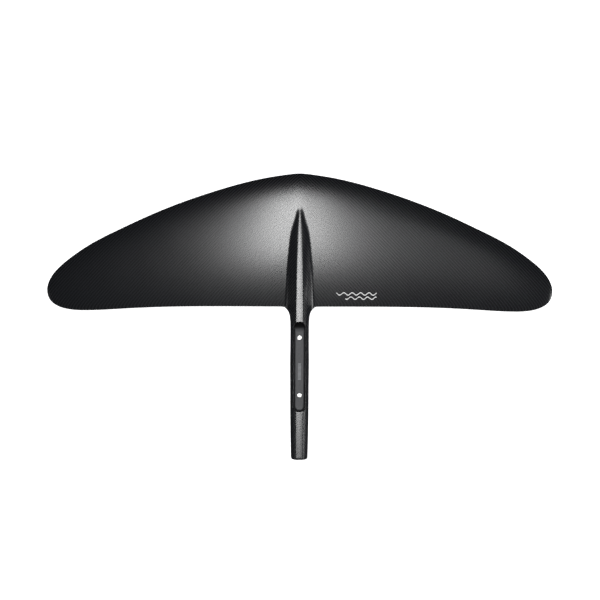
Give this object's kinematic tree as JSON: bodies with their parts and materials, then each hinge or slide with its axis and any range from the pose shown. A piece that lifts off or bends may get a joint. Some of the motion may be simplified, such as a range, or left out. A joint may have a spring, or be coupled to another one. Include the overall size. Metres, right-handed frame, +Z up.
{
  "type": "hydrofoil front wing with fuselage",
  "caption": "Carbon hydrofoil front wing moulded in one with its short fuselage, whose top has a long drafted socket for a bolted mast.",
  "frame": {"origin": "on the floor of the mast socket, midway between the two mast bolt holes", "axes": "+Z up towards the mast, +Y forwards to the leading edge, +X to the right wing tip"},
  "size_m": [0.8532, 0.4764, 0.0517],
  "materials": {
    "carbon_twill": "twill carbon cloth in clear epoxy, satin",
    "carbon_tooling": "carbon laminate with a tooled, slightly textured face",
    "carbon_ud": "unidirectional carbon, pressed",
    "carbon_biaxial": "biaxial carbon over foam, pressed",
    "foam": "machined closed-cell PVC foam",
    "epoxy_filler": "epoxy thickened with chopped carbon",
    "glass_laminate": "solid glass and epoxy laminate, sawn and sanded",
    "hardwood": "sealed beech",
    "stainless_steel": "turned",
    "brass": "turned, threaded inside"
  },
  "bodies": {
    "root": {"upper_shell": "carbon_twill", "lower_shell": "carbon_twill", "socket_liner": "carbon_tooling", "leading_strip_left": "carbon_ud", "leading_strip_right": "carbon_ud", "trailing_strip_left": "carbon_ud", "trailing_strip_right": "carbon_ud", "spar_cap_upper": "carbon_ud", "spar_cap_lower": "carbon_ud", "spar_web": "carbon_biaxial", "core_front_left": "foam", "core_front_right": "foam", "core_rear_left": "foam", "core_rear_right": "foam", "fairing_core": "foam", "nose_filler": "epoxy_filler", "tip_block_left": "epoxy_filler", "tip_block_right": "epoxy_filler", "bulkhead_front": "glass_laminate", "bulkhead_rear": "glass_laminate", "side_packer_left": "glass_laminate", "side_packer_right": "glass_laminate", "socket_base_plate": "glass_laminate", "tail_block": "hardwood", "mast_bolt_ferrules": "stainless_steel", "stabiliser_inserts": "brass"}
  },
  "joints": []
}
